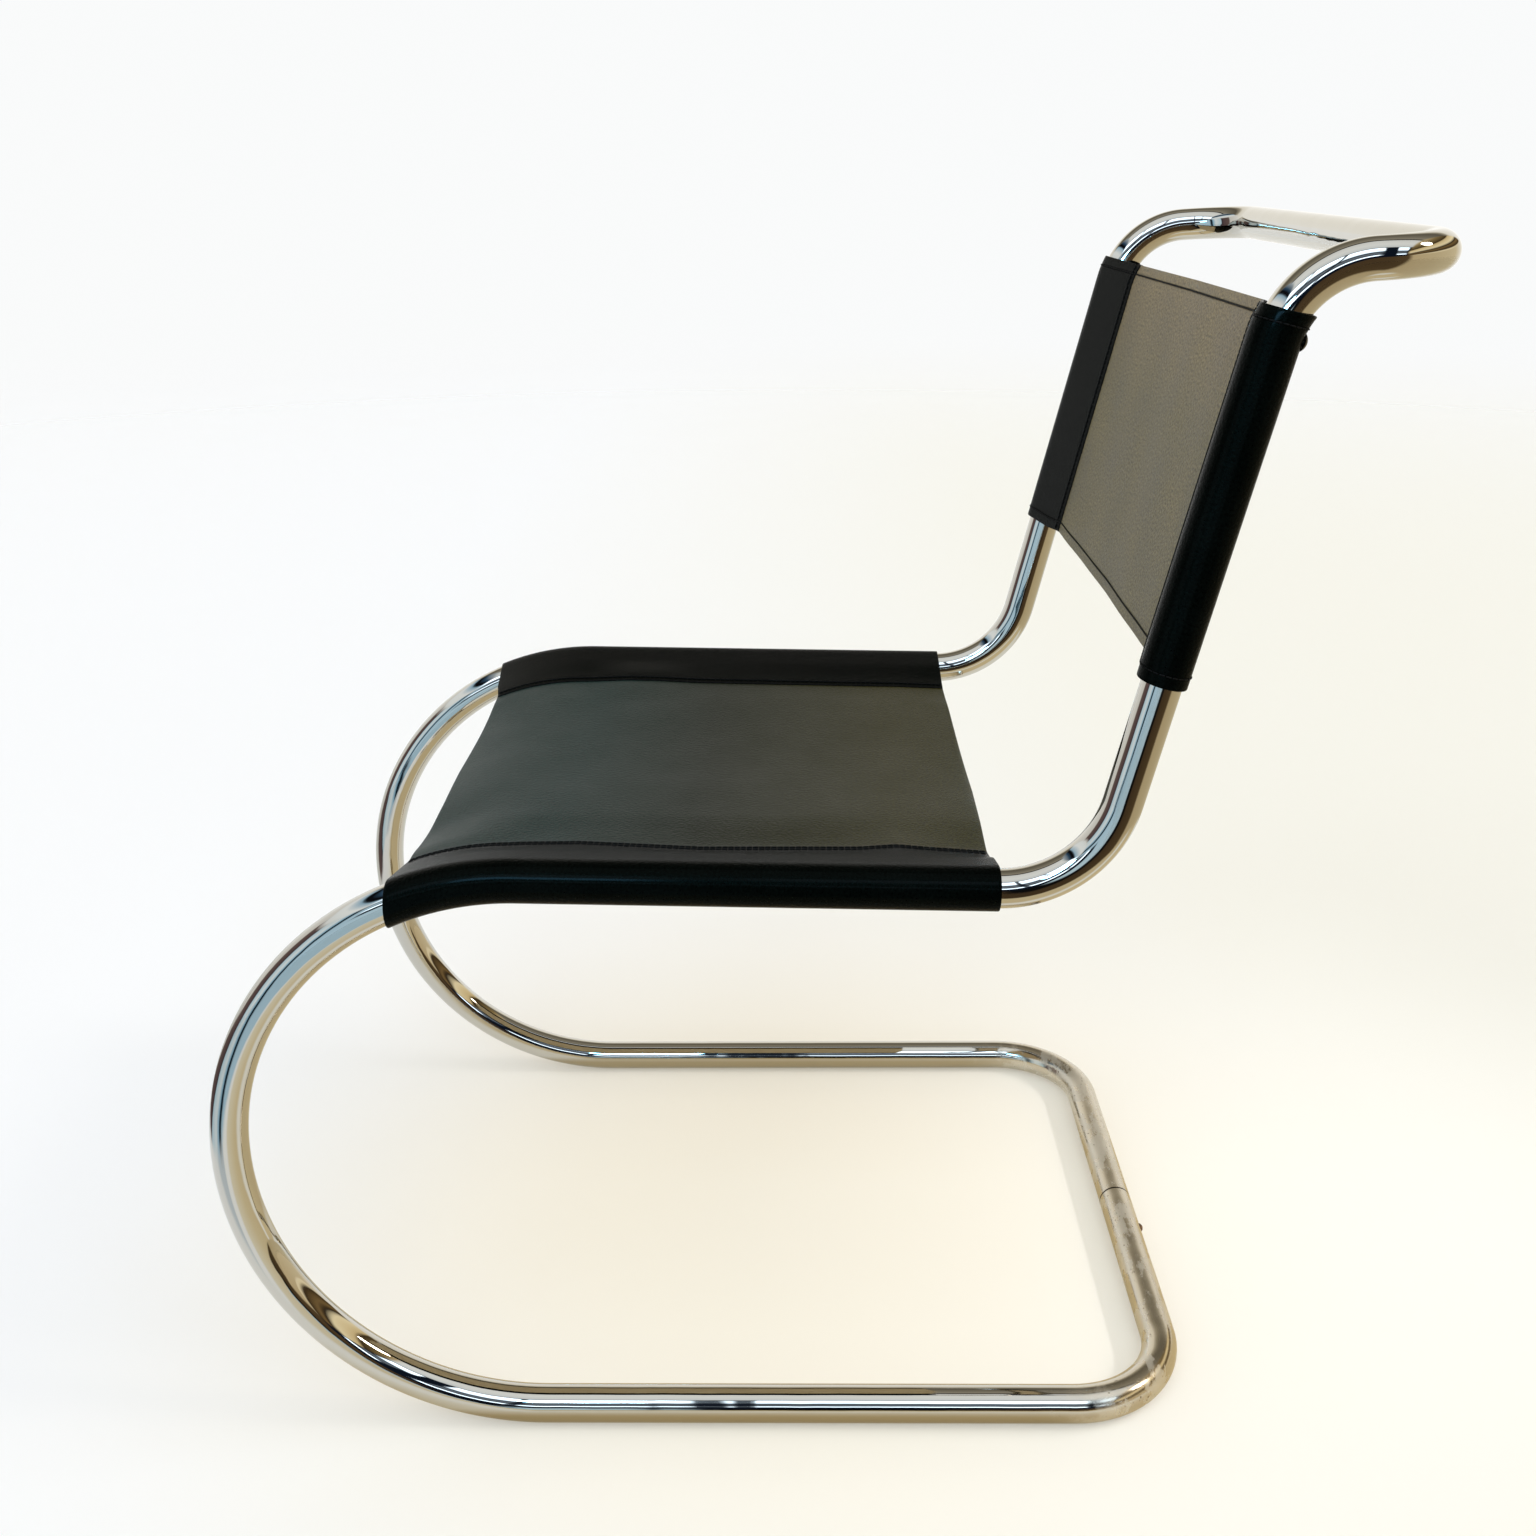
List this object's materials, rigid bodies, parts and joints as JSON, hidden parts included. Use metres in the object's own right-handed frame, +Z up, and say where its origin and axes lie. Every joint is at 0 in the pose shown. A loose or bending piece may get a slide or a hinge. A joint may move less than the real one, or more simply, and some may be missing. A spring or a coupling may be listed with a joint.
{
  "type": "cantilever lounge chair",
  "caption": "Cantilever lounge chair: a bent chromed steel tube with a half-round bow on each side carries a sewn leather seat and back sling, and the bows spring under the sitter.",
  "frame": {"origin": "on the floor, under the middle of the bounding box", "axes": "+Z up, the sitter faces -Y, +X is the sitter's left"},
  "size_m": [0.489, 0.7677, 0.795],
  "materials": {
    "tube": "polished",
    "plug": "machined",
    "screw": "tarnished",
    "stud": "satin",
    "hide": "fine grain, semi-gloss",
    "sleeve_hide": "fine grain, semi-gloss",
    "thread": "waxed thread"
  },
  "bodies": {
    "floor_frame": {"floor_tube_left": "tube", "floor_tube_right": "tube", "floor_spigot": "plug", "spigot_screw": "screw"},
    "sprung_chair": {"sprung_frame": "tube", "seat_panel": "hide", "seat_sleeve_left": "sleeve_hide", "seat_sleeve_right": "sleeve_hide", "seat_stitching": "thread", "back_panel": "hide", "back_sleeve_left": "sleeve_hide", "back_sleeve_right": "sleeve_hide", "back_hem_top": "hide", "back_hem_bottom": "hide", "back_stitching": "thread", "back_stud_left": "stud", "back_stud_right": "stud"}
  },
  "joints": [
    {"name": "frame_flex", "type": "hinge", "parent": "floor_frame", "child": "sprung_chair", "pos_m": [0, -0.3589, 0.213], "axis": [-1, 0, 0], "range_deg": [0, 4], "stiffness_Nm_per_rad": 4900, "springref_deg": -0.23}
  ]
}
